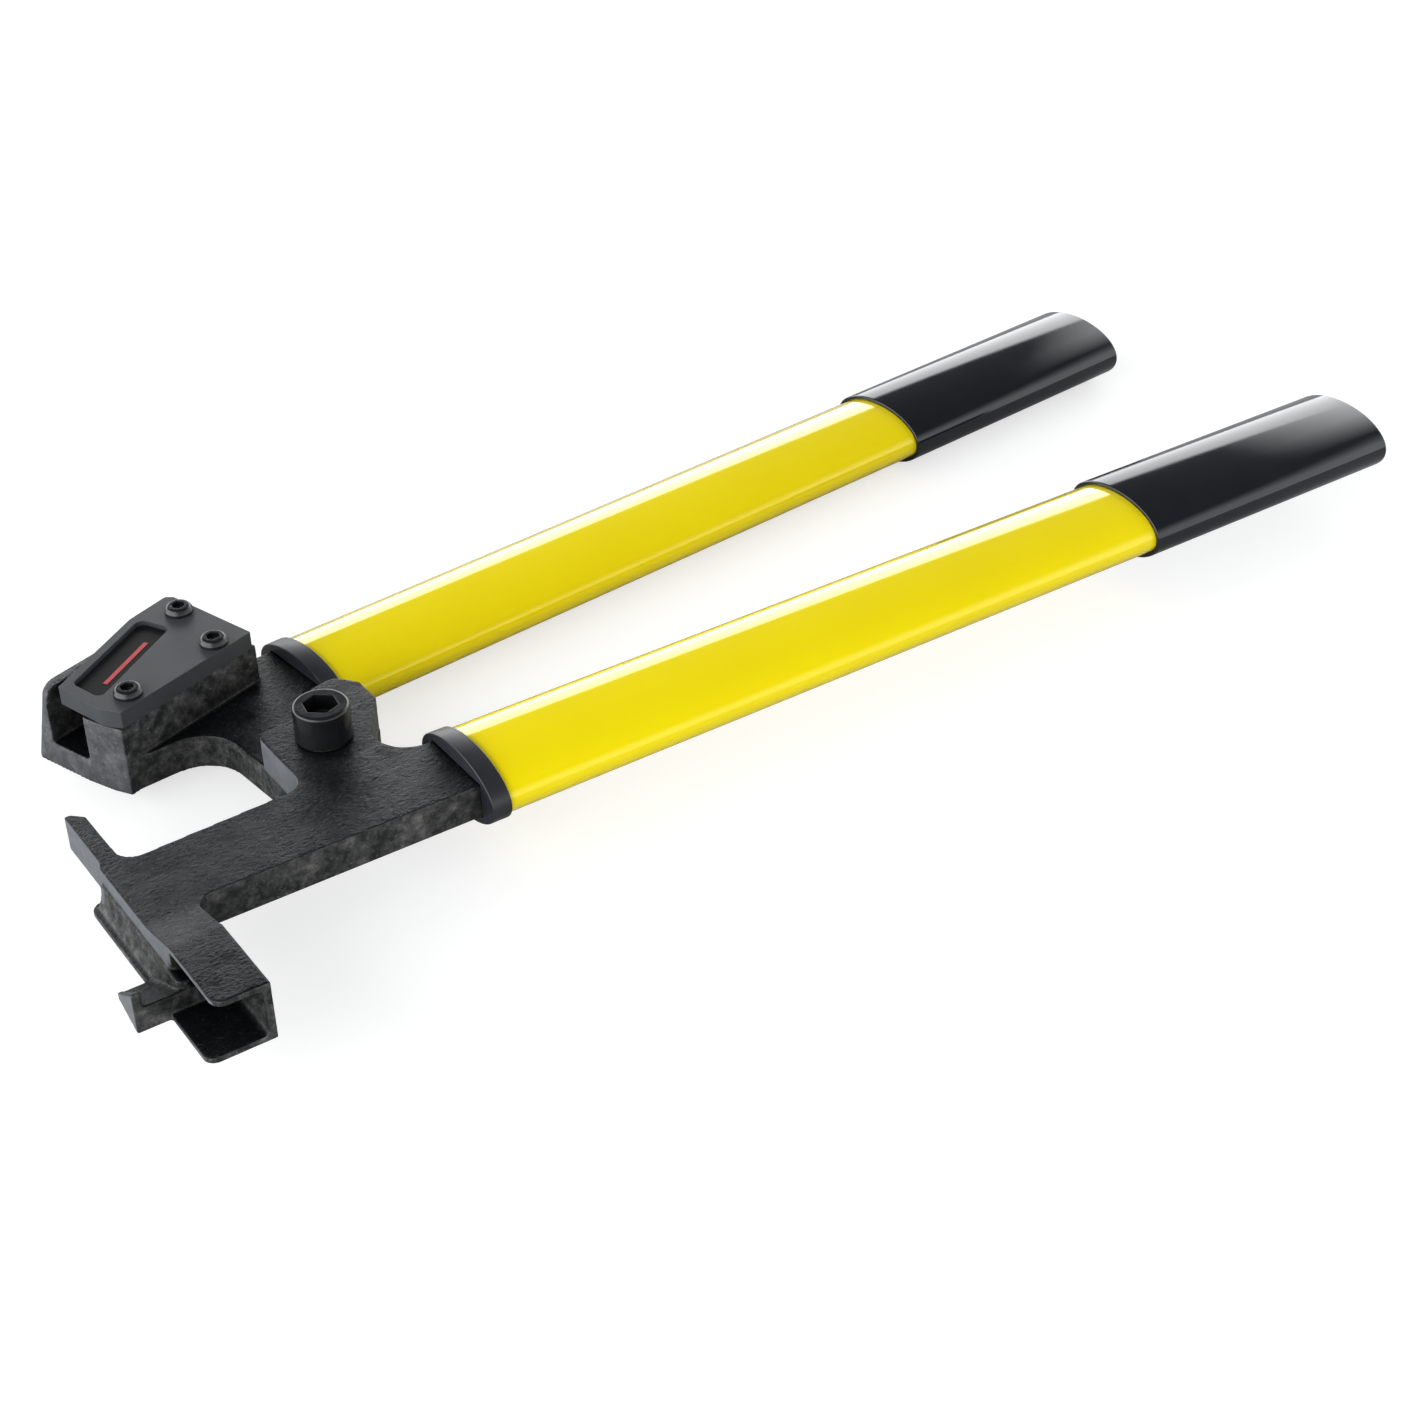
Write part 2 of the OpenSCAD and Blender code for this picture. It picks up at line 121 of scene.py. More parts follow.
def smooth_shaded(mesh, sharp_angle):
    """Smooth shading that stays sharp at edges past the angle, in degrees."""
    mesh.shade_smooth()
    mesh.set_sharp_from_angle(angle=math.radians(sharp_angle))
    return mesh


def bevelled(mesh, width):
    """The mesh with rounded edges, shaded so that its flat faces stay flat."""
    rounding = {
        "width": width * MM,
        "segments": 3,
        "limit_method": "ANGLE",
        "angle_limit": math.radians(35),
        "use_clamp_overlap": True,
    }
    weighting = {"mode": "FACE_AREA", "weight": 90, "keep_sharp": True}
    smooth_shaded(mesh, 30)
    return with_modifiers(mesh, ("BEVEL", rounding), ("WEIGHTED_NORMAL", weighting))


def rounded(points, steps=6):
    """An outline of (x, y, radius) corners as points, with each corner turned into an arc."""
    result = []
    for i, (x, y, r) in enumerate(points):
        here = Vector((x, y))
        if r == 0:
            result.append(here)
            continue
        to_last = (Vector(points[i - 1][:2]) - here).normalized()
        to_next = (Vector(points[(i + 1) % len(points)][:2]) - here).normalized()
        half = to_last.angle(to_next) / 2
        centre = here + (to_last + to_next).normalized() * r / math.sin(half)
        start = here + to_last * r / math.tan(half) - centre
        end = here + to_next * r / math.tan(half) - centre
        sweep = start.angle_signed(end)
        for k in range(steps + 1):
            turned = start.copy()
            turned.rotate(Matrix.Rotation(-sweep * k / steps, 2))
            result.append(centre + turned)
    return result


# ---- handles ----

TO_AXIS = -0.98  # share of an oval's half height that takes an end face almost to the handle's axis


class Handle:
    """One handle's own frame: X along the tube from the collar's front face, Z up."""

    def __init__(self, side, body):
        self.side = side
        self.body = body
        turn = Matrix.Rotation(LEVER_TURN[body], 4, "Z")
        self.matrix = turn
        low, high = self.extent("tube")
        collar_low, _ = self.extent("collar")
        origin = Vector((collar_low.x, (low.y + high.y) / 2, (low.z + high.z) / 2)) * MM
        self.matrix = turn @ Matrix.Translation(origin)

    def extent(self, part):
        """Lowest and highest corner of a CAD node in this handle's frame."""
        points = cad_points(f"{self.side}_{part}")
        inverse = np.array(self.matrix.inverted())
        local = (points @ inverse[:3, :3].T + inverse[:3, 3]) / MM
        return Vector(local.min(0)), Vector(local.max(0))


def oval_loft(handle, profile, closed, steps=144):
    """Sweeps a profile of (x, half width, half height) points round the handle's axis."""
    built = bmesh.new()
    rings = []
    for x, half_w, half_h in profile:
        ring = []
        for i in range(steps):
            a = 2 * math.pi * i / steps
            at = Vector((x, half_w * math.cos(a), half_h * math.sin(a))) * MM
            ring.append(built.verts.new(handle.matrix @ at))
        rings.append(ring)
    pairs = list(zip(rings, rings[1:]))
    if closed:
        pairs.append((rings[-1], rings[0]))
    for ring, following in pairs:
        for i in range(steps):
            j = (i + 1) % steps
            built.faces.new((ring[i], ring[j], following[j], following[i]))
    if not closed:
        built.faces.new(rings[0])
        built.faces.new(rings[-1])
    bmesh.ops.recalc_face_normals(built, faces=built.faces)
    mesh = bpy.data.meshes.new("loft")
    built.to_mesh(mesh)
    built.free()
    return mesh


def shell_profile(half_w, half_h, outline):
    """Points of a rounded outline of (x, offset, radius) about an oval of the given half sizes."""
    return [(p.x, half_w + p.y, half_h + p.y) for p in rounded(outline)]


def add_tube(handle, material):
    """Open oval tube with softened rims."""
    low, high = handle.extent("tube")
    half_w, half_h = high.y, high.z
    wall = 2.0
    edge = 0.4
    outline = [
        (low.x, 0, edge),
        (high.x, 0, edge),
        (high.x, -wall, edge),
        (low.x, -wall, edge),
    ]
    mesh = oval_loft(handle, shell_profile(half_w, half_h, outline), closed=True)
    node = f"{handle.side}_tube"
    piece = new_piece(node + "_body", smooth_shaded(mesh, 40), handle.body, material)
    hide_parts(node)


def add_grip(handle, material):
    """Sleeve with an open mouth towards the tube and a closed outer end."""
    low, high = handle.extent("grip")
    half_w, half_h = high.y, high.z
    wall = 1.6
    end_wall = 3.2
    outline = [
        (high.x - end_wall, half_h * TO_AXIS, 0),
        (high.x - end_wall, -wall, 0.5),
        (low.x, -wall, 0.35),
        (low.x, 0, 0.6),
        (high.x, 0, 0.9),
        (high.x, half_h * TO_AXIS, 0),
    ]
    mesh = oval_loft(handle, shell_profile(half_w, half_h, outline), closed=False)
    node = f"{handle.side}_grip"
    piece = new_piece(node + "_sleeve", smooth_shaded(mesh, 50), handle.body, material)
    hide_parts(node)


def add_collar(handle, material):
    """Cup round the tube's end, with a slot in its face for the arm."""
    _, high = handle.extent("collar")
    _, tube_high = handle.extent("tube")
    half_w, half_h = high.y, high.z
    clearance = 0.05
    bore = tube_high.y + clearance - half_w
    face = 2.5
    outline = [
        (0, half_h * TO_AXIS, 0),
        (0, 0, 0.45),
        (high.x, 0, 0.35),
        (high.x, bore, 0),
        (face, bore, 0.3),
        (face, half_h * TO_AXIS, 0),
    ]
    mesh = oval_loft(handle, shell_profile(half_w, half_h, outline), closed=False)
    gap = 0.35
    slot_w = ARM_WIDTH / 2 + gap
    slot_h = ARM_THICKNESS / 2 + gap
    mesh = cut_out(mesh, box_mesh(handle.matrix, (-1, -slot_w, -slot_h), (face + 1, slot_w, slot_h)))
    node = f"{handle.side}_collar"
    piece = new_piece(node + "_ring", smooth_shaded(mesh, 35), handle.body, material)
    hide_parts(node)


def box_mesh(matrix, low, high):
    """A box between two corners, given in the matrix's own frame."""
    built = bmesh.new()
    bmesh.ops.create_cube(built, size=1)
    for vertex in built.verts:
        corner = [top if c > 0 else bottom for c, bottom, top in zip(vertex.co, low, high)]
        vertex.co = matrix @ (Vector(corner) * MM)
    mesh = bpy.data.meshes.new("box")
    built.to_mesh(mesh)
    built.free()
    return mesh


def cut_out(mesh, cutter_mesh):
    """The first mesh with the second taken out of it."""
    cutter = bpy.data.objects.new("cutter", cutter_mesh)
    bpy.context.scene.collection.objects.link(cutter)
    values = {"operation": "DIFFERENCE", "solver": "EXACT", "object": cutter}
    result = with_modifiers(mesh, ("BOOLEAN", values))
    bpy.data.objects.remove(cutter)
    return result


# ---- arms ----


def roughen(mesh, skin_depth, waves, sharp_flats):
    """Sinks the surface by uneven shares of skin_depth, except near the heights that stay flat."""
    count = len(mesh.vertices)
    points = np.zeros(count * 3)
    normals = np.zeros(count * 3)
    mesh.vertices.foreach_get("co", points)
    mesh.vertices.foreach_get("normal", normals)
    points, normals = points.reshape(-1, 3), normals.reshape(-1, 3)
    heights = points[:, 2] / MM
    flat_reach = 0.4
    kept = np.min([np.abs(heights - flat) for flat in sharp_flats], axis=0) < flat_reach
    depth = np.zeros(count)
    for wavelength, share in waves:
        scaled = points / (wavelength * MM)
        depth += share * np.array([0.5 + 0.5 * noise.noise(p) for p in scaled.tolist()])
    depth[kept] = 0
    points -= normals * depth[:, None] * skin_depth * MM
    mesh.vertices.foreach_set("co", points.ravel())
    mesh.update()


def forged_arm(node, body, material, sharp_flats):
    """The CAD arm with the soft edges and the uneven skin of a forging. Heights in sharp_flats stay flat."""
    voxel = 0.42
    skin_depth = 0.07
    waves = ((9.0, 0.5), (3.2, 0.5))
    turn = Matrix.Rotation(LEVER_TURN[body], 4, "Z")
    mesh = welded_copy(node)
    mesh.transform(turn.inverted())
    remesh = {"mode": "VOXEL", "voxel_size": voxel * MM, "adaptivity": 0.0}
    relax = {"factor": 0.5, "iterations": 3}
    mesh = with_modifiers(mesh, ("REMESH", remesh), ("SMOOTH", relax))
    mesh.transform(turn)
    roughen(mesh, skin_depth, waves, sharp_flats)
    mesh.shade_smooth()
    piece = new_piece(node + "_forging", mesh, body, material)
    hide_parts(node)


def finished_part(node, body, material, bevel, suffix="_finished"):
    """A CAD part with its edges broken by the given width."""
    mesh = bevelled(welded_copy(node), bevel)
    piece = new_piece(node + suffix, mesh, body, material)
    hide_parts(node)


# ---- label ----


def add_label(material):
    """One plain red stripe along the nameplate, with no lettering."""
    _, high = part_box("nameplate")
    turn = Matrix.Rotation(BLOCK_TURN, 4, "Z")
    local = (cad_points("nameplate") @ np.array(turn.inverted())[:3, :3].T) / MM
    middle = (local.min(0) + local.max(0)) / 2
    plate_rise, plate_run = 12.1, 40.8
    slope = math.atan2(plate_rise, plate_run)
    centre = Vector((middle[0], middle[1], high.z / MM)) * MM
    place = turn @ Matrix.Translation(centre) @ Matrix.Rotation(slope, 4, "Z")
    sunk, proud = -0.02, 0.12
    start, end = -14, 11.5
    lower_edge, upper_edge = -2.6, -1.0
    outline = [(start, lower_edge), (end, lower_edge), (end, upper_edge), (start, upper_edge)]
    built = bmesh.new()
    lower, upper = (
        [built.verts.new(place @ (Vector((x, y, z)) * MM)) for x, y in outline] for z in (sunk, proud)
    )
    built.faces.new(upper)
    built.faces.new(lower[::-1])
    for i in range(len(outline)):
        j = (i + 1) % len(outline)
        built.faces.new((lower[i], lower[j], upper[j], upper[i]))
    bmesh.ops.recalc_face_normals(built, faces=built.faces)
    mesh = bpy.data.meshes.new("label_stripe")
    built.to_mesh(mesh)
    built.free()
    new_piece("label_stripe", mesh, REAR, material)


# ---- materials ----


class NodeTree:
    """Short calls for the nodes that materials and the world share."""

    def __init__(self, tree):
        self.tree = tree

    def link(self, source, target):
        """Feeds a number, a colour or another node's output into an input."""
        if isinstance(source, (int, float)):
            grey = target.type == "RGBA"
            target.default_value = (source, source, source, 1) if grey else source
        elif isinstance(source, tuple):
            target.default_value = (*source, 1) if len(source) == 3 else source
        else:
            self.tree.links.new(source, target)

    def math(self, operation, *values):
        node = self.tree.nodes.new("ShaderNodeMath")
        node.operation = operation
        for value, socket in zip(values, node.inputs):
            self.link(value, socket)
        return node.outputs[0]

    def level(self, value, low, high, to_low=0.0, to_high=1.0):
        """value mapped from low..high to to_low..to_high and held there outside."""
        node = self.tree.nodes.new("ShaderNodeMapRange")
        for given, socket in zip((value, low, high, to_low, to_high), node.inputs):
            self.link(given, socket)
        return node.outputs[0]


class Shader(NodeTree):
    """A material's node tree with short calls for the nodes that the looks below use."""

    def __init__(self, name):
        self.material = bpy.data.materials.new(name)
        self.material.use_nodes = True
        super().__init__(self.material.node_tree)
        self.bsdf = self.tree.nodes["Principled BSDF"]
        coordinates = self.tree.nodes.new("ShaderNodeTexCoord")
        self.place = coordinates.outputs["Object"]
        self.facing = coordinates.outputs["Normal"]

    def surface(self, **values):
        """Sets the surface's inputs, with spaces in their names written as underscores."""
        for key, value in values.items():
            self.link(value, self.bsdf.inputs[key.replace("_", " ")])

    def noise(self, size, detail=3, roughness=0.55, distortion=0.0, place=None):
        """Noise whose features are about size millimetres across."""
        node = self.tree.nodes.new("ShaderNodeTexNoise")
        self.link(place or self.place, node.inputs["Vector"])
        node.inputs["Scale"].default_value = 1 / (size * MM)
        node.inputs["Detail"].default_value = detail
        node.inputs["Roughness"].default_value = roughness
        node.inputs["Distortion"].default_value = distortion
        return node.outputs["Fac"]

    def openness(self, reach):
        """How open the surface is within a reach in millimetres: 1 in the open, 0 deep in a corner."""
        node = self.tree.nodes.new("ShaderNodeAmbientOcclusion")
        node.samples = 4
        node.inputs["Distance"].default_value = reach * MM
        return node.outputs["AO"]

    def axes(self):
        """X, Y and Z of the surface point in the row frame, in metres."""
        node = self.tree.nodes.new("ShaderNodeSeparateXYZ")
        self.link(self.place, node.inputs[0])
        return node.outputs

    def cells(self, size):
        """Distance to the nearest edge of irregular cells about size millimetres across."""
        node = self.tree.nodes.new("ShaderNodeTexVoronoi")
        node.feature = "DISTANCE_TO_EDGE"
        self.link(self.place, node.inputs["Vector"])
        node.inputs["Scale"].default_value = 1 / (size * MM)
        return node.outputs["Distance"]

    def stretched(self, scale, turn=0.0):
        """Object coordinates scaled per axis and turned about Z."""
        node = self.tree.nodes.new("ShaderNodeMapping")
        self.link(self.place, node.inputs["Vector"])
        node.inputs["Rotation"].default_value = (0, 0, turn)
        node.inputs["Scale"].default_value = scale
        return node.outputs["Vector"]

    def ramp(self, value, *stops):
        """A colour ramp; each stop is (position, grey or colour)."""
        node = self.tree.nodes.new("ShaderNodeValToRGB")
        self.link(value, node.inputs["Fac"])
        elements = node.color_ramp.elements
        while len(elements) < len(stops):
            elements.new(0.5)
        for element, (position, colour) in zip(elements, stops):
            element.position = position
            element.color = (*colour, 1) if isinstance(colour, tuple) else (colour,) * 3 + (1,)
        return node.outputs["Color"]

    def mix(self, share, first, second):
        """The first colour or grey blended into the second by the given share."""
        first_colour, second_colour, result_colour = 6, 7, 2
        node = self.tree.nodes.new("ShaderNodeMix")
        node.data_type = "RGBA"
        self.link(share, node.inputs["Factor"])
        self.link(first, node.inputs[first_colour])
        self.link(second, node.inputs[second_colour])
        return node.outputs[result_colour]

    def bump(self, height, depth, strength=1.0, normal=None):
        """A bump of the given depth in millimetres."""
        node = self.tree.nodes.new("ShaderNodeBump")
        node.inputs["Strength"].default_value = strength
        node.inputs["Distance"].default_value = depth * MM
        self.link(height, node.inputs["Height"])
        if normal is not None:
            self.link(normal, node.inputs["Normal"])
        return node.outputs["Normal"]

    def facing_along(self, axis):
        """Dot product of the surface's own normal with an axis of the row frame."""
        node = self.tree.nodes.new("ShaderNodeVectorMath")
        node.operation = "DOT_PRODUCT"
        self.link(self.facing, node.inputs[0])
        node.inputs[1].default_value = axis
        return node.outputs["Value"]


def arm_steel(name, machined_and_lit):
    """Black oxide on forged steel: wrinkled skin on the flats, mottled sides, and cleaner faces where
    machined, a function of the shader that gives their share. The machined faces' lighter colour is partly
    painted light on faces turned to the sides, the light flecks on the flats are painted glints, and corners
    get painted shade."""
    s = Shader(name)
    up = s.level(s.facing_along((0, 0, 1)), 0.6, 0.85)
    wrinkle_place = s.stretched((1.0, 2.1, 1.0), math.radians(-28))
    wrinkle = s.noise(2.0, detail=5, roughness=0.6, distortion=0.8, place=wrinkle_place)
    pebbles = s.noise(3.4, detail=3, roughness=0.6)
    grain = s.noise(0.6, detail=2)
    patches = s.noise(13, detail=3)
    # Light flecks: painted glints on the flats, the arm's own brown-grey specks on the sides.
    speck_and_glint = s.level(s.noise(1.3, detail=3, roughness=0.7), 0.62, 0.72)

    top_colour = s.ramp(patches, (0.3, (0.0035, 0.004, 0.0046)), (0.7, (0.0085, 0.0095, 0.0105)))
    top_colour = s.mix(speck_and_glint, top_colour, (0.04, 0.044, 0.047))
    mottling = s.noise(4.4, detail=5, roughness=0.7)
    side_colour = s.ramp(
        mottling,
        (0.4, (0.019, 0.0198, 0.02)),
        (0.57, (0.068, 0.068, 0.067)),
        (0.72, (0.16, 0.156, 0.146)),
    )
    side_colour = s.mix(speck_and_glint, side_colour, (0.15, 0.142, 0.128))
    colour = s.mix(up, side_colour, top_colour)
    roughness = s.level(pebbles, 0.3, 0.7, 0.2, 0.3)
    clean_and_lit = machined_and_lit(s)
    # Lighter colour of the machined faces: partly the cut surface's own colour, partly painted light on
    # faces turned to the sides.
    cut_and_lit_colour = s.ramp(
        s.noise(2.6, detail=4), (0.35, (0.105, 0.113, 0.124)), (0.7, (0.15, 0.158, 0.172))
    )
    colour = s.mix(clean_and_lit, colour, cut_and_lit_colour)
    roughness = s.mix(clean_and_lit, roughness, 0.36)
    # Painted shade: within 16 mm of other surfaces the colour sinks to near black and the specular level
    # drops.
    unshaded = s.openness(16)
    colour = s.mix(s.level(unshaded, 0.4, 0.85), (0.0015, 0.0015, 0.0017), colour)
    shade_dimmed_sheen = s.level(unshaded, 0.4, 0.85, 0.02, 0.16)
    wrinkle = s.math("MULTIPLY", wrinkle, s.level(patches, 0.35, 0.62, 0.45, 1.0))
    skin = s.math("ADD", s.math("MULTIPLY", wrinkle, up), s.math("MULTIPLY", grain, 0.22))
    skin = s.math("MULTIPLY", skin, s.math("SUBTRACT", 1.0, s.math("MULTIPLY", clean_and_lit, 0.9)))
    normal = s.bump(pebbles, 0.25, 0.3)
    normal = s.bump(skin, 0.5, 1.0, normal)
    s.surface(Base_Color=colour, Roughness=roughness, Normal=normal, Specular_IOR_Level=shade_dimmed_sheen)
    return s.material


def front_machined_and_lit(s):
    """Faces of the front arm cut square to its length, which also take painted light, but not inside the
    channel or on the rib.
    """
    x, y, z = s.axes()

    def past(axis, start, end):
        """Share that rises from 0 to 1 between two places in millimetres along an axis."""
        return s.level(axis, start * MM, end * MM)

    end = s.level(s.math("ABSOLUTE", s.facing_along((1, 0, 0))), 0.9, 0.97)
    in_channel = s.math("MULTIPLY", past(x, -79, -78), past(y, -60, -61))
    on_rib = s.math("MULTIPLY", past(z, 19.2, 18.8), past(y, -19.5, -20.5))
    behind_tooth = past(x, -93.5, -92.5)
    as_forged = s.math("MAXIMUM", in_channel, s.math("MULTIPLY", on_rib, behind_tooth))
    return s.math("MULTIPLY", end, s.math("SUBTRACT", 1.0, as_forged))


def rear_machined_and_lit(s):
    """The end and the outer wall of the rear jaw block, which also take painted light."""
    block_start, block_full = -36 * MM, -42 * MM
    clean_and_lit_share = 0.35
    x, _, _ = s.axes()
    outward = (-math.cos(BLOCK_TURN), -math.sin(BLOCK_TURN), 0)
    end = s.level(s.facing_along(outward), 0.25, 0.85)
    return s.math("MULTIPLY", end, s.math("MULTIPLY", clean_and_lit_share, s.level(x, block_start, block_full)))


def satin_metal(name, dark, light, roughness, specular=0.5, metallic=0.0, size=5.0, depth=0.02):
    """Fine-grained satin metal or coating, with soft patches and a faint grain."""
    s = Shader(name)
    patches = s.noise(size * 2.5, detail=3)
    grain = s.noise(0.28, detail=2)
    colour = s.ramp(patches, (0.3, dark), (0.7, light))
    rough = s.level(s.noise(size, detail=4), 0.3, 0.7, roughness - 0.05, roughness + 0.06)
    s.surface(
        Base_Color=colour,
        Roughness=rough,
        Metallic=metallic,
        Specular_IOR_Level=specular,
        Normal=s.bump(grain, depth, 0.5),
    )
    return s.material


def yellow_paint():
    """Saturated yellow powder coat under a clear gloss layer, which whitens towards grazing angles."""
    s = Shader("tube_yellow")
    patches = s.noise(60, detail=2)
    colour = s.ramp(patches, (0.3, (0.93, 0.74, 0.0)), (0.7, (0.96, 0.775, 0.0)))
    peel = s.noise(1.6, detail=2)
    s.surface(
        Base_Color=colour,
        Roughness=s.level(s.noise(9, detail=3), 0.3, 0.7, 0.04, 0.07),
        Specular_IOR_Level=0.55,
        Specular_Tint=(1.0, 0.78, 0.02, 1.0),
        Coat_Weight=0.75,
        Coat_IOR=1.5,
        Coat_Roughness=0.03,
        Normal=s.bump(peel, 0.012, 0.3),
    )
    return s.material


def grip_vinyl():
    """Smooth dipped vinyl, blue-black and glossy, with a faint cloudiness."""
    s = Shader("grip_black")
    dark, light = (0.005, 0.0065, 0.0095), (0.0075, 0.0095, 0.013)
    colour = s.ramp(s.noise(25, detail=3), (0.3, dark), (0.7, light))
    s.surface(
        Base_Color=colour,
        Roughness=s.level(s.noise(12, detail=3), 0.3, 0.7, 0.07, 0.1),
        Specular_IOR_Level=0.5,
        Normal=s.bump(s.noise(2.4, detail=2), 0.02, 0.25),
    )
    return s.material


def nameplate_black():
    """Black plate brushed along its length."""
    s = Shader("nameplate_black")
    brushed = s.noise(0.9, detail=3, place=s.stretched((0.15, 3.0, 1.0), BLOCK_TURN))
    colour = s.ramp(brushed, (0.3, 0.004), (0.7, 0.008))
    s.surface(Base_Color=colour, Roughness=0.42, Specular_IOR_Level=0.1, Normal=s.bump(brushed, 0.01, 0.4))
    return s.material


def label_red():
    """Slightly uneven printed red."""
    s = Shader("label_red")
    colour = s.ramp(s.noise(0.8, detail=3), (0.3, (0.42, 0.035, 0.04)), (0.7, (0.56, 0.055, 0.06)))
    s.surface(Base_Color=colour, Roughness=0.5, Normal=s.bump(s.noise(0.3), 0.01, 0.3))
    return s.material


def bronze():
    """Dark oiled sintered bronze with fine pores."""
    s = Shader("bronze")
    pores = s.level(s.cells(0.7), 0.0, 0.08)
    metal = s.ramp(s.noise(5), (0.3, (0.075, 0.055, 0.035)), (0.7, (0.1, 0.073, 0.046)))
    colour = s.mix(pores, (0.05, 0.035, 0.022), metal)
    s.surface(Base_Color=colour, Metallic=0.9, Roughness=0.38, Normal=s.bump(pores, 0.03, 0.4))
    return s.material


# ---- studio ----


def add_floor(material):
    """A wide disc just below the tool."""
    low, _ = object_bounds()
    radius = 6.0
    drop = 0.2 * MM
    built = bmesh.new()
    bmesh.ops.create_circle(built, cap_ends=True, segments=48, radius=radius)
    mesh = bpy.data.meshes.new("floor")
    built.to_mesh(mesh)
    built.free()
    floor = bpy.data.objects.new("floor", mesh)
    floor.location.z = low.z - drop
    mesh.materials.append(material)
    bpy.context.scene.collection.objects.link(floor)
    floor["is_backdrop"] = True


def floor_white():
    """Matt white that glows only for the camera, so that it adds little light to the tool."""
    s = Shader("floor_white")
    tone = s.ramp(s.noise(400, detail=2), (0.3, 0.48), (0.7, 0.5))
    seen = s.tree.nodes.new("ShaderNodeLightPath").outputs["Is Camera Ray"]
    s.surface(
        Base_Color=tone,
        Roughness=0.9,
        Specular_IOR_Level=0.1,
        Emission_Color=(1.0, 1.0, 1.0),
        Emission_Strength=s.math("MULTIPLY", seen, 0.66),
    )
    return s.material


def add_world():
    """White walls that are bright low down, a dim ceiling, and bright panels far right and far left."""
    world = bpy.data.worlds.new("studio")
    bpy.context.scene.world = world
    world.use_nodes = True
    nodes = NodeTree(world.node_tree)
    coordinates = nodes.tree.nodes.new("ShaderNodeTexCoord")
    split = nodes.tree.nodes.new("ShaderNodeSeparateXYZ")
    nodes.link(coordinates.outputs["Generated"], split.inputs[0])
    x, y, z = split.outputs
    ceiling = 0.17

    def below(low, high, strength):
        """Light of the given strength below an edge that fades between two elevations in degrees."""
        return nodes.level(z, math.sin(math.radians(low)), math.sin(math.radians(high)), strength, 0.0)

    at_back = nodes.level(y, -0.2, 0.3)
    at_right = nodes.level(x, 0.69, 0.79)
    at_left = nodes.level(x, -0.45, -0.8)
    back_wall = below(22.5, 25.5, 3.3)
    front_wall = below(20, 36, 1.6)
    right_panel = nodes.math("MULTIPLY", below(43, 51, 3.4), at_right)
    left_panel = nodes.math("MULTIPLY", below(34, 50, 4.5), at_left)
    behind = nodes.math("MULTIPLY", at_back, nodes.math("MAXIMUM", back_wall, right_panel))
    ahead = nodes.math("MULTIPLY", nodes.math("SUBTRACT", 1.0, at_back), front_wall)
    walls = nodes.math("MAXIMUM", left_panel, nodes.math("ADD", behind, ahead))
    background = nodes.tree.nodes["Background"]
    nodes.link(nodes.math("ADD", ceiling, walls), background.inputs["Strength"])
    background.inputs["Color"].default_value = (0.97, 0.985, 1.0, 1.0)


def add_camera():
    """Three-quarter view from above the jaws, placed about the pivot screw's head."""
    azimuth, elevation, roll = (math.radians(a) for a in (-37.57, 34.07, -0.8))
    distance, shift_right, shift_up = 728.7, 117.7, 8.8
    screw_head_z = 24
    aim = Vector((0, 0, screw_head_z))
    back = Vector((
        math.sin(azimuth) * math.cos(elevation),
        -math.cos(azimuth) * math.cos(elevation),
        math.sin(elevation),
    ))
    right = Vector((math.cos(azimuth), math.sin(azimuth), 0))
    up = back.cross(right)
    place = (aim + back * distance + right * shift_right + up * shift_up) * MM
    rolled_right = right * math.cos(roll) + up * math.sin(roll)
    rolled_up = up * math.cos(roll) - right * math.sin(roll)
    data = bpy.data.cameras.new("camera")
    data.sensor_width = 36
    data.lens = 60.04
    data.clip_start = 0.01
    camera = bpy.data.objects.new("camera", data)
    axes = Matrix((rolled_right, rolled_up, back)).transposed().to_4x4()
    camera.matrix_world = Matrix.Translation(place) @ axes
    bpy.context.scene.collection.objects.link(camera)
    bpy.context.scene.camera = camera


# ---- the tool ----


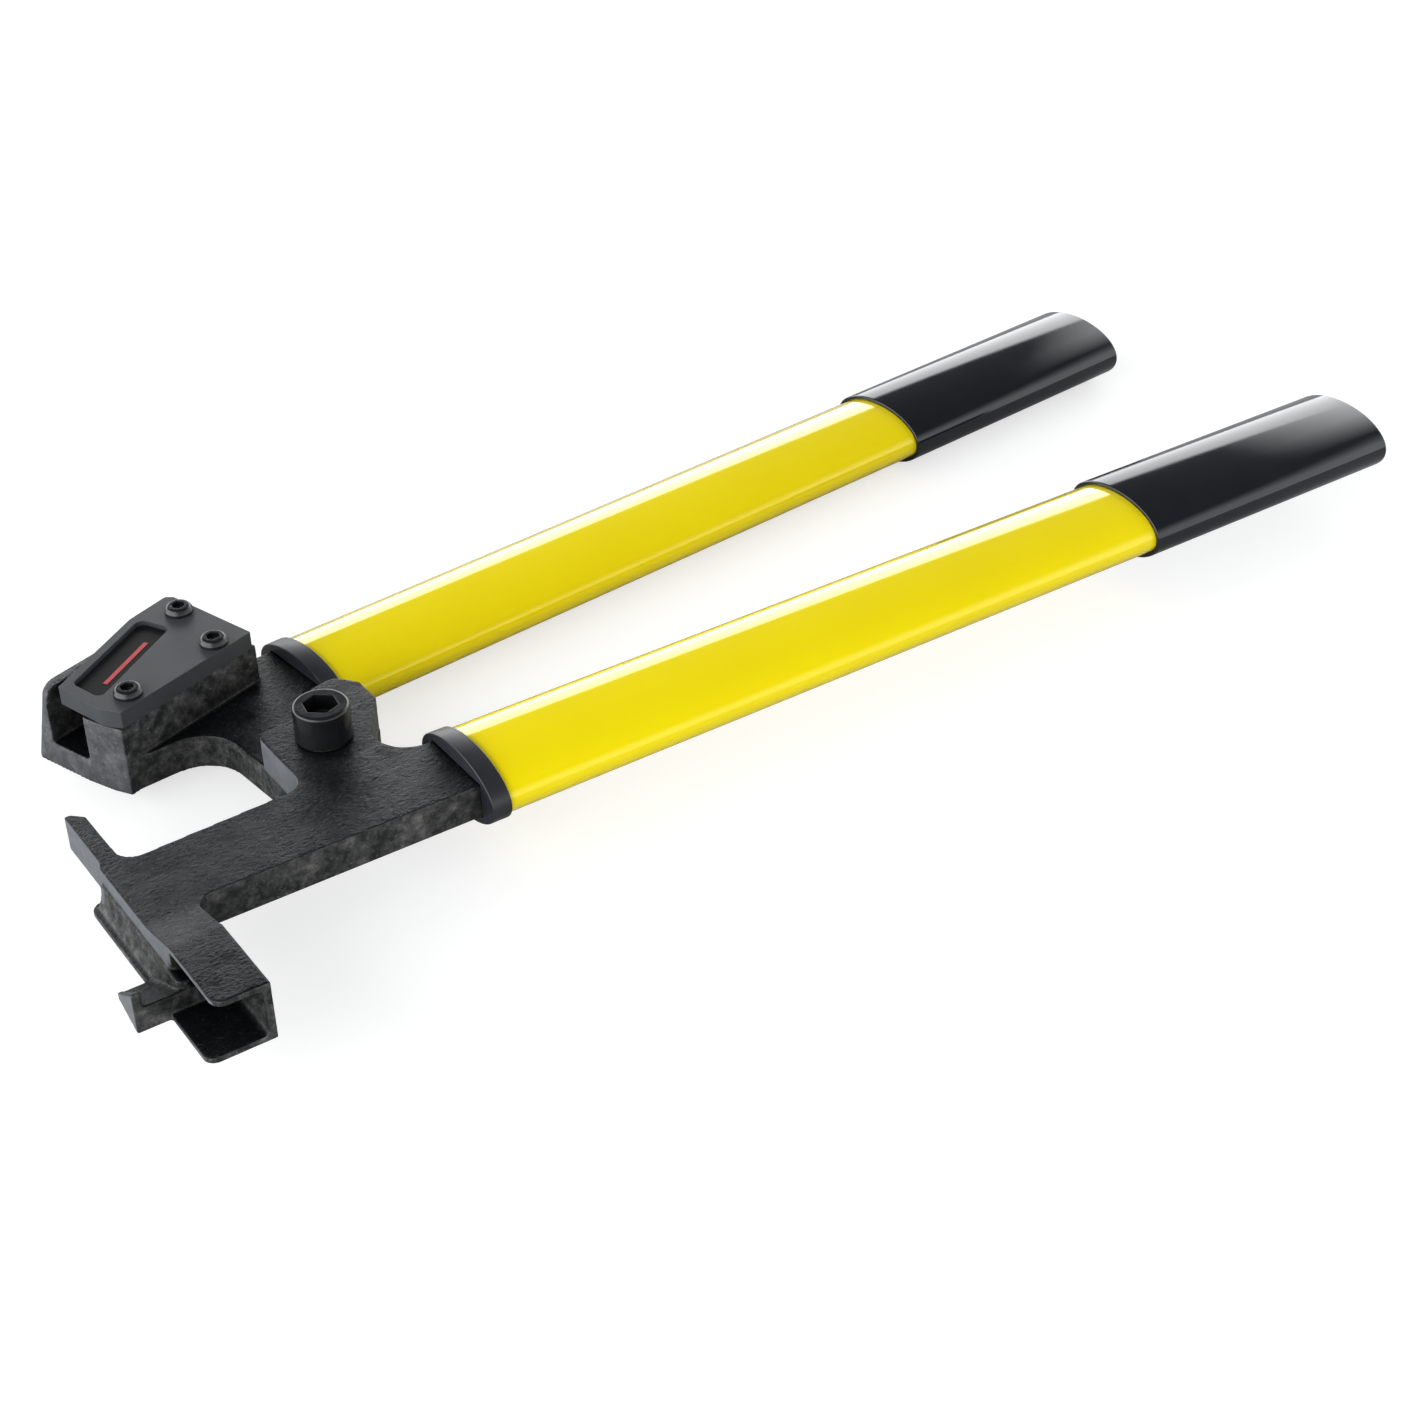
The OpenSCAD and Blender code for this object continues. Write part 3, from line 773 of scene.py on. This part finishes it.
def build():
    """Every piece of the tool on its body, in its material."""
    black_oxide = satin_metal("black_oxide", (0.005, 0.0055, 0.0063), (0.008, 0.0087, 0.0097), 0.23, 0.45)
    hardened = satin_metal("hardened_steel", (0.2, 0.205, 0.215), (0.3, 0.305, 0.315), 0.35, 0.5, 0.9)
    bright = satin_metal("bright_steel", (0.45, 0.46, 0.48), (0.58, 0.59, 0.61), 0.26, 0.5, 1.0)
    nylon = satin_metal("sleeve_plastic", (0.5, 0.5, 0.46), (0.58, 0.58, 0.53), 0.55, 0.4)
    cover = satin_metal("cover_satin", (0.04, 0.0438, 0.0472), (0.047, 0.051, 0.055), 0.36, 0.4)
    collar = satin_metal("collar_satin", (0.012, 0.0135, 0.018), (0.016, 0.018, 0.023), 0.4, 0.5)
    bushing = bronze()

    rear_skin = arm_steel("rear_arm_steel", rear_machined_and_lit)
    front_skin = arm_steel("front_arm_steel", front_machined_and_lit)
    forged_arm("rear_arm", REAR, rear_skin, (ARM_THICKNESS, JAW_BLOCK_TOP))
    forged_arm("front_arm", FRONT, front_skin, (ARM_THICKNESS,))

    finished_part("cover_plate", REAR, cover, 0.18)
    finished_part("cover_screws", REAR, black_oxide, 0.12)
    finished_part("pivot_screw", REAR, black_oxide, 0.22)
    finished_part("nameplate", REAR, nameplate_black(), 0.08)
    finished_part("anvil_plate", REAR, hardened, 0.25)
    finished_part("cam_pin", REAR, bright, 0.3)
    finished_part("grip_cam", CAM, hardened, 0.12)
    finished_part("thrust_washer", REAR, bushing, 0.2)
    finished_part("pivot_bush", FRONT, bushing, 0.15)
    add_label(label_red())

    yellow, vinyl = yellow_paint(), grip_vinyl()
    for side, body in (("rear", REAR), ("front", FRONT)):
        handle = Handle(side, body)
        add_tube(handle, yellow)
        add_grip(handle, vinyl)
        add_collar(handle, collar)
        finished_part(f"{side}_tang_sleeve", body, nylon, 0.2, "_moulded")
        finished_part(f"{side}_set_screw", body, black_oxide, 0.15)

    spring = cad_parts["cam_spring"]
    spring.data.materials.clear()
    spring.data.materials.append(bright)


build()
add_floor(floor_white())
add_world()
add_camera()
bpy.context.scene.view_settings.view_transform = "Standard"
